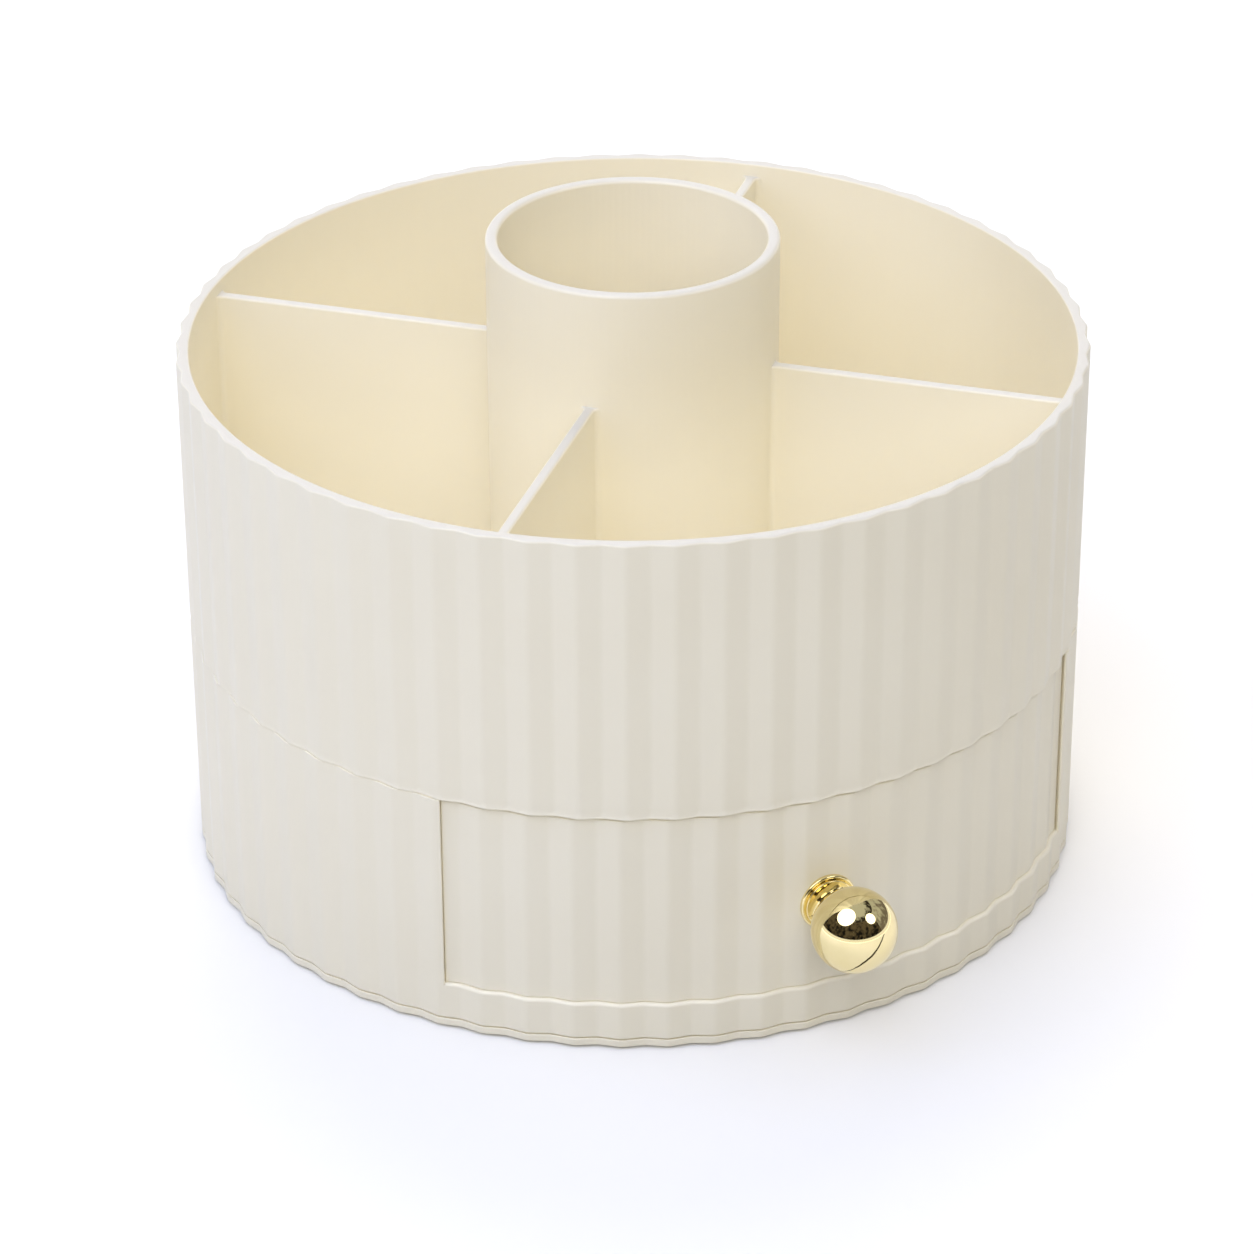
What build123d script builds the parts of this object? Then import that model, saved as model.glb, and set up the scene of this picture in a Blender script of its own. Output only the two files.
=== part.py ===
from build123d import *

import os
from math import cos, radians, sin, sqrt

# Round makeup box with a drawer: a fluted tray with four sectors and a centre tube stands on a
# fluted housing, whose drawer slides out towards -Y, and the whole box spins on a turntable foot.
# Millimetres, +Z up. The origin is on the spin axis, at the level of the table.

os.makedirs("parts", exist_ok=True)

# Flutes, shared by the tray, the housing, the drawer front and the foot
crest_diameter = 170.0
flute_count = 62
flute_depth = 0.55
flute_round = 5.0
tray_turn = 3.8

# How close an edge lies to the level or side that it is picked by
pick_tolerance = 0.01

# Stack, from the table up
pad_standout = 0.6
foot_thickness = 1.4
turning_gap = 0.3
housing_height = 46.0
tray_wall_height = 54.8
tube_above_rim = 20.0

# Tray
wall_thickness = 2.5
tray_floor_thickness = 2.0
tube_bore_diameter = 49.8
tube_wall = 2.3
divider_count = 4
divider_thickness = 2.0
divider_draft = 0.3
divider_below_rim = 2.6
divider_overlap = 1.0
rim_outer_round = 0.5
rim_inner_round = 0.4
tube_rim_round = 0.8
divider_round = 0.6
spigot_thickness = 1.6
spigot_depth = 3.0
spigot_clearance = 0.3
spigot_notch_margin = 3.0

# Housing
lip_height = 7.2
housing_floor_thickness = 2.0
floor_below_sill = 1.0
opening_half_width = 63.2
sill_round = 1.0
jamb_round = 0.5
jamb_rib_thickness = 2.0
jamb_rib_below_seam = 4.0
rail_thickness = 1.6
rail_height = 5.5
rail_rear_clearance = 4.4
runner_width = 3.0
runner_spacing = 90.0

# Screw posts that carry the tray: two beside the drawer and two behind it
side_post_setback = 15.0
rear_post_spacing = 60.0
post_wall_gap = 3.0
post_radius = 4.0
post_shelf_thickness = 3.0
boss_height = 4.0
boss_radius = 3.5

# Drawer
drawer_recess = 1.2
front_thickness = 2.3
front_gap = 0.4
front_edge_round = 0.5
jamb_gap = 0.3
sliding_gap = 0.3
rail_gap = 0.4
box_side_inset = 4.9
box_corner_round = 4.0
box_wall = 1.8
box_floor = 1.6
box_wall_drop = 3.9
ear_reach = 2.8
ear_length = 5.0
ear_height = 12.0
ear_setback = 4.2
stop_gap = 0.3

# Knob
knob_level = 26.4
ball_diameter = 15.6
ball_reach = 10.9
flange_diameter = 10.9
flange_thickness = 0.9
collar_diameter = 9.4
collar_thickness = 0.5
neck_diameter = 4.6
neck_reach = 3.0

# Screws and washers
screw_diameter = 3.0
screw_clearance = 0.15
thread_clearance = 0.05
thread_end_space = 0.3
screw_head_diameter = 5.6
screw_head_height = 1.8
screw_head_chamfer = 0.4
screw_tip_chamfer = 0.5
screw_head_play = 0.3
recess_length = 3.2
recess_width = 0.7
recess_depth = 0.8
knob_thread_length = 6.0
tray_thread_length = 4.6
pivot_thread_length = 4.6
washer_thickness = 0.5
knob_washer_diameter = 8.0
pivot_washer_diameter = 14.0

# Turntable
track_diameter = 90.0
track_width = 9.0
track_gap = 0.9
bearing_ball_diameter = 3.0
bearing_ball_count = 12
race_clearance = 0.08
cage_thickness = 1.0
cage_width = 7.0
pocket_clearance = 0.15
pivot_boss_diameter = 10.0
pivot_clearance = 0.05
hub_wall = 2.5
hub_web_thickness = 1.4
washer_running_gap = 0.05
washer_side_play = 0.5
pad_count = 4
pad_ring_diameter = 132.0
pad_diameter = 16.0
pad_recess = 0.4
pad_play = 0.2
pad_edge_round = 0.2
centre_pad_diameter = 26.0

# Radii and the pitch of the flutes
crest_radius = crest_diameter / 2
bore_radius = crest_radius - wall_thickness
flute_pitch = 360 / flute_count
housing_turn = flute_pitch / 2
tube_bore_radius = tube_bore_diameter / 2
tube_radius = tube_bore_radius + tube_wall
screw_radius = screw_diameter / 2
screw_head_radius = screw_head_diameter / 2
thread_hole_radius = screw_radius + thread_clearance
screw_hole_radius = screw_radius + screw_clearance
track_radius = track_diameter / 2
pivot_boss_radius = pivot_boss_diameter / 2
bearing_ball_radius = bearing_ball_diameter / 2
groove_radius = bearing_ball_radius + race_clearance
hub_recess_radius = pivot_washer_diameter / 2 + washer_side_play
ball_radius = ball_diameter / 2
flange_radius = flange_diameter / 2
collar_radius = collar_diameter / 2
neck_radius = neck_diameter / 2

# Levels
foot_level = pad_standout
foot_top = foot_level + foot_thickness
housing_level = foot_top + turning_gap
seam_level = housing_level + housing_height
sill_level = housing_level + lip_height
housing_floor_top = sill_level - floor_below_sill
housing_floor_level = housing_floor_top - housing_floor_thickness
tray_floor_top = seam_level + tray_floor_thickness
rim_level = seam_level + tray_wall_height
divider_top = rim_level - divider_below_rim
tube_top = rim_level + tube_above_rim
post_top = seam_level - boss_height
post_shelf_level = post_top - post_shelf_thickness
drawer_level = sill_level + sliding_gap
front_top = seam_level - front_gap
box_top = front_top - box_wall_drop
box_floor_top = drawer_level + box_floor
bearing_level = (foot_top + housing_floor_level) / 2
foot_track_top = bearing_level - track_gap
housing_track_level = bearing_level + track_gap
pivot_boss_level = foot_level + screw_head_height + washer_thickness
hub_web_level = pivot_boss_level + washer_running_gap
hub_web_top = hub_web_level + hub_web_thickness
pivot_head_level = pivot_boss_level - washer_thickness

# The drawer's plan, measured from the spin axis. Its box reaches back to just short of where
# the guide rails come near the wall, and its ears stand a little way in front of that.
front_crest_radius = crest_radius - drawer_recess
front_inner_radius = front_crest_radius - front_thickness
front_half_width = opening_half_width - jamb_gap
front_end_back = -sqrt(front_inner_radius**2 - front_half_width**2)
jamb_rib_front = front_end_back + stop_gap
jamb_rib_back = jamb_rib_front + jamb_rib_thickness
box_half_width = front_half_width - box_side_inset
rib_half_gap = box_half_width + rail_gap
rail_half_reach = rib_half_gap + rail_thickness
box_back = sqrt((bore_radius - rail_rear_clearance) ** 2 - rail_half_reach**2)
ear_back = box_back - ear_setback
knob_seat = -front_crest_radius * cos(radians(flute_pitch / 2))
knob_washer_seat = -sqrt(front_inner_radius**2 - (knob_washer_diameter / 2) ** 2)
knob_screw_seat = knob_washer_seat + washer_thickness

knob_plane = Plane(origin=(0, knob_seat, knob_level), z_dir=(0, -1, 0))
front_flutes = range(-(flute_count // 4), flute_count // 4)

# The posts stand on one circle just inside the wall
post_circle_radius = bore_radius - post_wall_gap - post_radius
side_post_reach = sqrt(post_circle_radius**2 - side_post_setback**2)
rear_post_reach = sqrt(post_circle_radius**2 - (rear_post_spacing / 2) ** 2)
post_places = [
    (-side_post_reach, -side_post_setback),
    (side_post_reach, -side_post_setback),
    (-rear_post_spacing / 2, rear_post_reach),
    (rear_post_spacing / 2, rear_post_reach),
]


def at_bearing(radius, bearing):
    """Give the point at a radius and a bearing, counted from -Y round towards +X."""
    angle = radians(bearing)
    return (radius * sin(angle), -radius * cos(angle))


def is_outside(edge):
    """Tell whether an edge stands on the fluted outside, and not on a wall's inner face."""
    middle = edge @ 0.5
    return sqrt(middle.X**2 + middle.Y**2) > (bore_radius + front_crest_radius) / 2


def is_at_jamb(edge):
    """Tell whether an edge lies in one of the opening's two sides."""
    return abs(abs(edge.center().X) - opening_half_width) < pick_tolerance


def is_divider_top(edge):
    """Tell whether an edge of the tray lies at the level of the dividers' tops."""
    return abs(edge.center().Z - divider_top) < pick_tolerance


def flute_corners(crest_distance, turn, flutes):
    """Give the crests and valleys of some flutes, before they are rounded."""
    corners = []
    for flute in flutes:
        crest_bearing = turn + flute * flute_pitch
        corners.append(at_bearing(crest_distance, crest_bearing))
        corners.append(at_bearing(crest_distance - flute_depth, crest_bearing + flute_pitch / 2))
    return corners


def fluted_outline(turn, level):
    """Draw the body's wavy outline at a level, with one crest at the turn's bearing."""
    with BuildSketch(Plane.XY.offset(level)) as outline:
        with BuildLine():
            corners = flute_corners(crest_radius, turn, range(flute_count))
            FilletPolyline(*corners, radius=flute_round, close=True)
        make_face()
    return outline.sketch


def housing_wall():
    """Make the housing's wall from the lip up to the seam, open over the drawer front."""
    wall_level = sill_level - sill_round
    with BuildPart() as wall:
        extrude(fluted_outline(housing_turn, wall_level), amount=seam_level - wall_level)
        with BuildSketch(Plane.XY.offset(wall_level)):
            Circle(bore_radius)
            with Locations((0, -crest_radius)):
                Rectangle(2 * opening_half_width, crest_diameter)
        extrude(amount=seam_level - wall_level, mode=Mode.SUBTRACT)
        upright = wall.edges().filter_by(Axis.Z)
        jambs = upright.filter_by(is_at_jamb).filter_by(is_outside)
        fillet(jambs, jamb_round)
    return wall.part


def pan_head_screw(thread_length):
    """Make a screw along +Z, with the underside of its head at the origin."""
    with BuildPart() as screw:
        with BuildSketch(Plane.XY.offset(-screw_head_height)):
            Circle(screw_head_radius)
        extrude(amount=screw_head_height)
        chamfer(screw.edges().group_by(Axis.Z)[0], screw_head_chamfer)
        with BuildSketch(Plane.XY.offset(-screw_head_height)):
            Rectangle(recess_length, recess_width)
            Rectangle(recess_width, recess_length)
        extrude(amount=recess_depth, mode=Mode.SUBTRACT)
        with BuildSketch():
            Circle(screw_radius)
        extrude(amount=thread_length)
        chamfer(screw.edges().group_by(Axis.Z)[-1], screw_tip_chamfer)
    return screw.part


def washer(diameter):
    """Make a washer that lies on the origin's plane, on the -Z side."""
    with BuildPart() as ring:
        with BuildSketch(Plane.XY.offset(-washer_thickness)):
            Circle(diameter / 2)
            Circle(screw_hole_radius, mode=Mode.SUBTRACT)
        extrude(amount=washer_thickness)
    return ring.part


# Tray: one moulding with a fluted wall, a floor, four dividers and the centre tube
with BuildPart() as upper_tray:
    extrude(fluted_outline(tray_turn, seam_level), amount=tray_wall_height)
    fillet(upper_tray.edges().group_by(Axis.Z)[-1], rim_outer_round)
    with BuildSketch(Plane.XY.offset(tray_floor_top)):
        Circle(bore_radius)
    extrude(amount=tray_wall_height, mode=Mode.SUBTRACT)
    inner_rim = upper_tray.edges().filter_by(GeomType.CIRCLE).group_by(Axis.Z)[-1]
    fillet(inner_rim.group_by(SortBy.RADIUS)[-1], rim_inner_round)
    # Dividers, thinner towards their tops
    divider_reach = bore_radius - tube_radius + 2 * divider_overlap
    with BuildSketch(Plane.XY.offset(divider_top)):
        with PolarLocations(tube_radius - divider_overlap + divider_reach / 2, divider_count,
                            start_angle=tray_turn - 90 + 180 / divider_count):
            Rectangle(divider_reach, divider_thickness)
    extrude(amount=tray_floor_top - divider_top, taper=-divider_draft)
    # Tube
    with BuildSketch(Plane.XY.offset(seam_level)):
        Circle(tube_radius)
    extrude(amount=tube_top - seam_level)
    with BuildSketch(Plane.XY.offset(tray_floor_top)):
        Circle(tube_bore_radius)
    extrude(amount=tube_top - tray_floor_top, mode=Mode.SUBTRACT)
    fillet(upper_tray.edges().group_by(Axis.Z)[-1], tube_rim_round)
    straight_edges = upper_tray.edges().filter_by(GeomType.LINE)
    fillet(straight_edges.filter_by(is_divider_top), divider_round)
    # Spigot that fits inside the housing wall, left out over the drawer
    with BuildSketch(Plane.XY.offset(seam_level)):
        Circle(bore_radius - spigot_clearance)
        Circle(bore_radius - spigot_clearance - spigot_thickness, mode=Mode.SUBTRACT)
        with Locations((0, -crest_radius)):
            Rectangle(2 * (opening_half_width + spigot_notch_margin), crest_diameter,
                      mode=Mode.SUBTRACT)
    extrude(amount=-spigot_depth)
    # Screw bosses over the housing's posts
    with BuildSketch(Plane.XY.offset(seam_level)):
        with Locations(*post_places):
            Circle(boss_radius)
    extrude(amount=-boss_height)
    with BuildSketch(Plane.XY.offset(post_top)):
        with Locations(*post_places):
            Circle(thread_hole_radius)
    extrude(amount=tray_thread_length + thread_end_space, mode=Mode.SUBTRACT)

# Housing: one moulding with a lip all round, a fluted wall that is open over the drawer front,
# and a raised floor. The lip's rounded edge shows under the drawer.
with BuildPart() as lower_housing:
    extrude(fluted_outline(housing_turn, housing_level), amount=lip_height)
    fillet(lower_housing.edges().group_by(Axis.Z)[-1], sill_round)
    with BuildSketch(Plane.XY.offset(housing_floor_top)):
        Circle(bore_radius)
    extrude(amount=sill_level - housing_floor_top, mode=Mode.SUBTRACT)
    with BuildSketch(Plane.XY.offset(housing_level)):
        Circle(bore_radius)
    extrude(amount=housing_floor_level - housing_level, mode=Mode.SUBTRACT)
    add(housing_wall())
    # Jamb ribs, which stop the drawer at both ends of its travel
    with BuildSketch(Plane.XY.offset(housing_floor_top)):
        with Locations((0, jamb_rib_front)):
            Rectangle(2 * bore_radius, jamb_rib_thickness, align=(Align.CENTER, Align.MIN))
            Rectangle(2 * rib_half_gap, jamb_rib_thickness, align=(Align.CENTER, Align.MIN),
                      mode=Mode.SUBTRACT)
        Circle(bore_radius, mode=Mode.INTERSECT)
    extrude(amount=seam_level - jamb_rib_below_seam - housing_floor_top)
    # Guide rails beside the drawer
    with BuildSketch(Plane.XY.offset(housing_floor_top)):
        with Locations((0, jamb_rib_back)):
            Rectangle(2 * rail_half_reach, box_back - jamb_rib_back,
                      align=(Align.CENTER, Align.MIN))
            Rectangle(2 * rib_half_gap, box_back - jamb_rib_back,
                      align=(Align.CENTER, Align.MIN), mode=Mode.SUBTRACT)
    extrude(amount=rail_height)
    # Runners under the drawer, level with the sill, from the lip to the back of the drawer
    with BuildSketch(Plane.XY.offset(housing_floor_top)):
        with Locations((-runner_spacing / 2, box_back), (runner_spacing / 2, box_back)):
            Rectangle(runner_width, crest_diameter, align=(Align.CENTER, Align.MAX))
        Circle(bore_radius, mode=Mode.INTERSECT)
    extrude(amount=floor_below_sill)
    # Screw posts, hollow from below up to the shelf that the screw head bears on
    with BuildSketch(Plane.XY.offset(housing_floor_top)):
        with Locations(*post_places):
            Circle(post_radius)
    extrude(amount=post_top - housing_floor_top)
    with BuildSketch(Plane.XY.offset(housing_floor_level)):
        with Locations(*post_places):
            Circle(screw_head_radius + screw_head_play)
    extrude(amount=post_shelf_level - housing_floor_level, mode=Mode.SUBTRACT)
    with BuildSketch(Plane.XY.offset(post_shelf_level)):
        with Locations(*post_places):
            Circle(screw_hole_radius)
    extrude(amount=post_shelf_thickness, mode=Mode.SUBTRACT)
    # Ball track and pivot boss under the floor
    with BuildSketch(Plane.XY.offset(housing_track_level)):
        Circle(track_radius + track_width / 2)
        Circle(track_radius - track_width / 2, mode=Mode.SUBTRACT)
    extrude(amount=housing_floor_level - housing_track_level)
    with BuildSketch(Plane.XZ):
        with Locations((track_radius, bearing_level)):
            Circle(groove_radius)
    revolve(axis=Axis.Z, mode=Mode.SUBTRACT)
    with BuildSketch(Plane.XY.offset(pivot_boss_level)):
        Circle(pivot_boss_radius)
    extrude(amount=housing_floor_level - pivot_boss_level)
    with BuildSketch(Plane.XY.offset(pivot_boss_level)):
        Circle(thread_hole_radius)
    extrude(amount=pivot_thread_length + thread_end_space, mode=Mode.SUBTRACT)

# Drawer: one moulding with a fluted front that continues the housing's flutes
with BuildPart() as drawer:
    with BuildSketch(Plane.XY.offset(drawer_level)):
        with BuildLine():
            corners = flute_corners(front_crest_radius, housing_turn, front_flutes)
            front_line = FilletPolyline(*corners, radius=flute_round)
            Polyline(front_line @ 1, (0, 0), front_line @ 0)
        make_face()
        Rectangle(2 * front_half_width, crest_diameter, mode=Mode.INTERSECT)
        Circle(front_inner_radius, mode=Mode.SUBTRACT)
    extrude(amount=front_top - drawer_level)
    front_ends = drawer.edges().filter_by(Axis.Z).group_by(Axis.X)
    fillet((front_ends[0] + front_ends[-1]).filter_by(is_outside), front_edge_round)
    # Box behind the front, with rounded rear corners
    with BuildSketch(Plane.XY.offset(drawer_level)) as box_plan:
        with Locations((0, box_back)):
            Rectangle(2 * box_half_width, crest_diameter, align=(Align.CENTER, Align.MAX))
        fillet(box_plan.vertices().group_by(Axis.Y)[-1], box_corner_round)
        Circle(front_inner_radius, mode=Mode.INTERSECT)
    extrude(amount=box_top - drawer_level)
    with BuildSketch(Plane.XY.offset(box_floor_top)) as box_inside:
        with Locations((0, box_back - box_wall)):
            Rectangle(2 * (box_half_width - box_wall), crest_diameter,
                      align=(Align.CENTER, Align.MAX))
        fillet(box_inside.vertices().group_by(Axis.Y)[-1], box_corner_round - box_wall)
        Circle(front_inner_radius, mode=Mode.INTERSECT)
    extrude(amount=box_top - box_floor_top, mode=Mode.SUBTRACT)
    # Ears that meet the jamb ribs when the drawer is pulled right out
    with BuildSketch(Plane.XY.offset(box_top - ear_height)):
        with Locations((0, ear_back)):
            Rectangle(2 * (box_half_width + ear_reach), ear_length,
                      align=(Align.CENTER, Align.MAX))
            Rectangle(2 * (box_half_width - box_wall / 2), ear_length,
                      align=(Align.CENTER, Align.MAX), mode=Mode.SUBTRACT)
    extrude(amount=ear_height)
    with BuildSketch(knob_plane):
        Circle(screw_hole_radius)
    extrude(amount=-2 * front_thickness, mode=Mode.SUBTRACT)

# Knob: turned flange, collar and neck, and a ball
with BuildPart() as knob:
    with BuildSketch(Plane(origin=knob_plane.origin, x_dir=(0, -1, 0), z_dir=(-1, 0, 0))):
        with BuildLine():
            neck_end = ball_reach - sqrt(ball_radius**2 - neck_radius**2)
            collar_end = flange_thickness + collar_thickness
            Polyline(
                (0, 0),
                (0, flange_radius),
                (flange_thickness, flange_radius),
                (flange_thickness, collar_radius),
                (collar_end, collar_radius),
            )
            EllipticalCenterArc(
                (neck_reach, collar_radius),
                neck_reach - collar_end,
                collar_radius - neck_radius,
                start_angle=180,
                arc_size=90,
            )
            Line((neck_reach, neck_radius), (neck_end, neck_radius))
            ball_line = RadiusArc((neck_end, neck_radius), (ball_reach + ball_radius, 0), ball_radius)
            Line(ball_line @ 1, (0, 0))
        make_face()
    revolve(axis=Axis((0, 0, knob_level), (0, 1, 0)))
    with BuildSketch(knob_plane):
        Circle(thread_hole_radius)
    extrude(amount=knob_thread_length + thread_end_space, mode=Mode.SUBTRACT)

with BuildPart() as knob_washer:
    with Locations(Plane(origin=(0, knob_washer_seat, knob_level), z_dir=(0, -1, 0))):
        add(washer(knob_washer_diameter))

with BuildPart() as knob_screw:
    with Locations(Plane(origin=(0, knob_screw_seat, knob_level), z_dir=(0, -1, 0))):
        add(pan_head_screw(knob_screw_seat - knob_seat + knob_thread_length))

with BuildPart() as tray_screws:
    with Locations(*[(x, y, post_shelf_level) for x, y in post_places]):
        add(pan_head_screw(post_shelf_thickness + tray_thread_length))

# Turntable foot: a thin fluted disc with a ball track and a hub round the housing's pivot boss
with BuildPart() as turntable_foot:
    extrude(fluted_outline(housing_turn, foot_level), amount=foot_thickness)
    with BuildSketch(Plane.XY.offset(foot_top)):
        Circle(track_radius + track_width / 2)
        Circle(track_radius - track_width / 2, mode=Mode.SUBTRACT)
    extrude(amount=foot_track_top - foot_top)
    with BuildSketch(Plane.XZ):
        with Locations((track_radius, bearing_level)):
            Circle(groove_radius)
    revolve(axis=Axis.Z, mode=Mode.SUBTRACT)
    with BuildSketch(Plane.XY.offset(foot_level)):
        Circle(hub_recess_radius + hub_wall)
    extrude(amount=hub_web_top - foot_level)
    with BuildSketch(Plane.XY.offset(foot_level)):
        Circle(hub_recess_radius)
    extrude(amount=hub_web_level - foot_level, mode=Mode.SUBTRACT)
    with BuildSketch(Plane.XY.offset(hub_web_level)):
        Circle(pivot_boss_radius + pivot_clearance)
    extrude(amount=hub_web_thickness, mode=Mode.SUBTRACT)
    with BuildSketch(Plane.XY.offset(foot_level)):
        with PolarLocations(pad_ring_diameter / 2, pad_count, start_angle=180 / pad_count):
            Circle(pad_diameter / 2 + pad_play)
    extrude(amount=pad_recess, mode=Mode.SUBTRACT)

with BuildPart() as pivot_washer:
    with Locations((0, 0, pivot_boss_level)):
        add(washer(pivot_washer_diameter))

with BuildPart() as pivot_screw:
    with Locations((0, 0, pivot_head_level)):
        add(pan_head_screw(washer_thickness + pivot_thread_length))

# Ball bearing ring between the foot and the housing
with BuildPart() as ball_cage:
    with BuildSketch(Plane.XY.offset(bearing_level - cage_thickness / 2)):
        Circle(track_radius + cage_width / 2)
        Circle(track_radius - cage_width / 2, mode=Mode.SUBTRACT)
        with PolarLocations(track_radius, bearing_ball_count):
            Circle(bearing_ball_radius + pocket_clearance, mode=Mode.SUBTRACT)
    extrude(amount=cage_thickness)

with BuildPart(Plane.XY.offset(bearing_level)) as bearing_balls:
    with PolarLocations(track_radius, bearing_ball_count):
        Sphere(bearing_ball_radius)

# Rubber pads: four near the edge, let into the foot, and one over the pivot screw
with BuildPart() as foot_pads:
    with BuildSketch():
        with PolarLocations(pad_ring_diameter / 2, pad_count, start_angle=180 / pad_count):
            Circle(pad_diameter / 2)
    extrude(amount=foot_level + pad_recess)
    with BuildSketch():
        Circle(centre_pad_diameter / 2)
    extrude(amount=foot_level)
    chamfer(foot_pads.edges().group_by(Axis.Z)[0], pad_edge_round)

pieces = {
    "upper_tray": upper_tray,
    "lower_housing": lower_housing,
    "drawer": drawer,
    "knob": knob,
    "knob_washer": knob_washer,
    "knob_screw": knob_screw,
    "tray_screws": tray_screws,
    "turntable_foot": turntable_foot,
    "pivot_washer": pivot_washer,
    "pivot_screw": pivot_screw,
    "ball_cage": ball_cage,
    "bearing_balls": bearing_balls,
    "foot_pads": foot_pads,
}
for node, piece in pieces.items():
    piece.part.label = node
    export_step(piece.part, f"parts/{node}.step")
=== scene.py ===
from math import asin, atan2, cos, pi, radians, sin, sqrt, tan

import bmesh
import bpy
from mathutils import Matrix, Vector


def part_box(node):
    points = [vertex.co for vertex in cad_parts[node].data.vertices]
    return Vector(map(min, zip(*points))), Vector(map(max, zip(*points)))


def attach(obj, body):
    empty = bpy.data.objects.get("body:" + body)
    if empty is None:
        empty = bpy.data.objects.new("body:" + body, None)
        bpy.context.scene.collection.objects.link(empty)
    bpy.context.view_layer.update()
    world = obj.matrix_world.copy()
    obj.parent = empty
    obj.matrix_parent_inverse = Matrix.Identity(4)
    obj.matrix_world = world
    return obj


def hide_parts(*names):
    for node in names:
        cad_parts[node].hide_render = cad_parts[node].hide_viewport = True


# Makeup box with a drawer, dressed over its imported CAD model. Metres, +Z up, drawer towards -Y.

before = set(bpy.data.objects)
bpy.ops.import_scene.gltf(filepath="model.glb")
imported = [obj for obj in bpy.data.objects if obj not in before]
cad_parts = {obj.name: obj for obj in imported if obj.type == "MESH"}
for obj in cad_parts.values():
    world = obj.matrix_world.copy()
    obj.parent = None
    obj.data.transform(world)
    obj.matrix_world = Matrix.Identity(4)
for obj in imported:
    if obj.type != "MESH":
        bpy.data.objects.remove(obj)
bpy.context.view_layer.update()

MM = 0.001

# Flutes of the wall
crest_radius = 85.0 * MM
flute_count = 62
flute_depth = 0.75 * MM
flute_round = 3.5 * MM
tray_turn = 3.8
flute_pitch = 360 / flute_count
housing_turn = flute_pitch / 2

# Levels, from the frame
seam_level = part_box("lower_housing")[1].z
housing_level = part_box("lower_housing")[0].z
tube_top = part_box("upper_tray")[1].z
foot_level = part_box("turntable_foot")[0].z
drawer_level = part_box("drawer")[0].z
front_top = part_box("drawer")[1].z
box_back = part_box("drawer")[1].y
knob_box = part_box("knob")

# Tray
bore_radius = 82.5 * MM
tray_wall_height = 54.8 * MM
tray_floor_top = seam_level + 2.0 * MM
rim_level = seam_level + tray_wall_height
rim_outer_round = 0.5 * MM
rim_inner_round = 0.4 * MM
seam_round = 0.3 * MM
bead_height = 0.4 * MM
bead_depth = 0.14 * MM
bead_fade = 2.0 * MM
floor_round = 1.6 * MM
tube_bore_radius = 24.9 * MM
tube_radius = 27.2 * MM
tube_round = 0.8 * MM
divider_count = 4
divider_half_thickness = 1.0 * MM
divider_draft = tan(radians(0.3))
divider_top = rim_level - 2.6 * MM
divider_round = 0.6 * MM
corner_round = 1.2 * MM

# How deep one part of a moulding reaches into the next, and how far it stays behind a shared face
sink = 0.3 * MM
skin_inset = 0.03 * MM

# Housing
sill_level = housing_level + 7.2 * MM
sill_round = 0.6 * MM
sill_inner_round = 0.3 * MM
housing_floor_top = sill_level - 1.0 * MM
housing_floor_level = housing_floor_top - 2.0 * MM
opening_half_width = 63.2 * MM
jamb_round = 0.25 * MM
top_round = 0.2 * MM
jamb_rib_front = -51.53 * MM
jamb_rib_back = jamb_rib_front + 2.0 * MM
rail_inner_reach = 58.4 * MM
rail_outer_reach = 60.0 * MM
rail_height = 5.5 * MM
jamb_rib_top = seam_level - 4.0 * MM
runner_width = 3.0 * MM
runner_reach = 45.0 * MM
rib_round = 0.4 * MM
post_radius = 4.0 * MM
boss_radius = 3.5 * MM
post_top = seam_level - 4.0 * MM
post_circle_radius = 75.5 * MM
side_post_setback = 15.0 * MM
rear_post_reach = 30.0 * MM
spigot_depth = 3.0 * MM
spigot_radius = 82.2 * MM
spigot_inner_radius = 80.6 * MM
spigot_notch_half_width = 66.2 * MM

# Turntable
foot_top = foot_level + 1.4 * MM
foot_round = 0.15 * MM
track_radius = 45.0 * MM
track_half_width = 4.5 * MM
groove_radius = 1.58 * MM
bearing_level = (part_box("ball_cage")[0].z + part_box("ball_cage")[1].z) / 2
track_gap = 0.9 * MM
pivot_boss_radius = 5.0 * MM
pivot_boss_level = 2.9 * MM
pivot_clearance = 0.05 * MM
hub_recess_radius = 7.5 * MM
hub_radius = 10.0 * MM
hub_web_level = pivot_boss_level + pivot_clearance
hub_top = hub_web_level + 1.4 * MM

# Drawer
front_crest_radius = 84.2 * MM
front_inner_radius = 81.5 * MM
front_half_width = 62.9 * MM
front_round = 0.3 * MM
front_low_round = 0.1 * MM
front_level = sill_level + 0.1 * MM
box_half_width = 58.0 * MM
box_wall = 1.8 * MM
box_rim_round = 0.8 * MM
box_base_round = 0.5 * MM
box_corner_round = 4.0 * MM
box_floor_round = 1.5 * MM
box_top = front_top - 3.9 * MM
box_floor_top = drawer_level + 1.6 * MM
box_front_end = -59.4 * MM
box_plate_radius = 82.3 * MM
box_plate_half_width = 57.5 * MM
ear_reach = 2.8 * MM
ear_length = 5.0 * MM
ear_height = 12.0 * MM
ear_setback = 4.2 * MM

# Knob, measured along its axis from its seat on the drawer front
knob_seat = knob_box[1].y
knob_level = (knob_box[0].z + knob_box[1].z) / 2
ball_radius = (knob_box[1].z - knob_box[0].z) / 2
ball_reach = knob_seat - knob_box[0].y - ball_radius
flange_radius = 5.45 * MM
flange_thickness = 0.9 * MM
flange_round = 0.35 * MM
groove_depth = 0.25 * MM
collar_radius = 4.7 * MM
collar_top = 1.4 * MM
collar_round = 0.15 * MM
neck_radius = 2.3 * MM
neck_reach = 3.0 * MM

# Points nearer than the weld distance become one, and edges stay sharp that turn more than the angle
weld_distance = 1e-7
sharp_angle = 50

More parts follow.
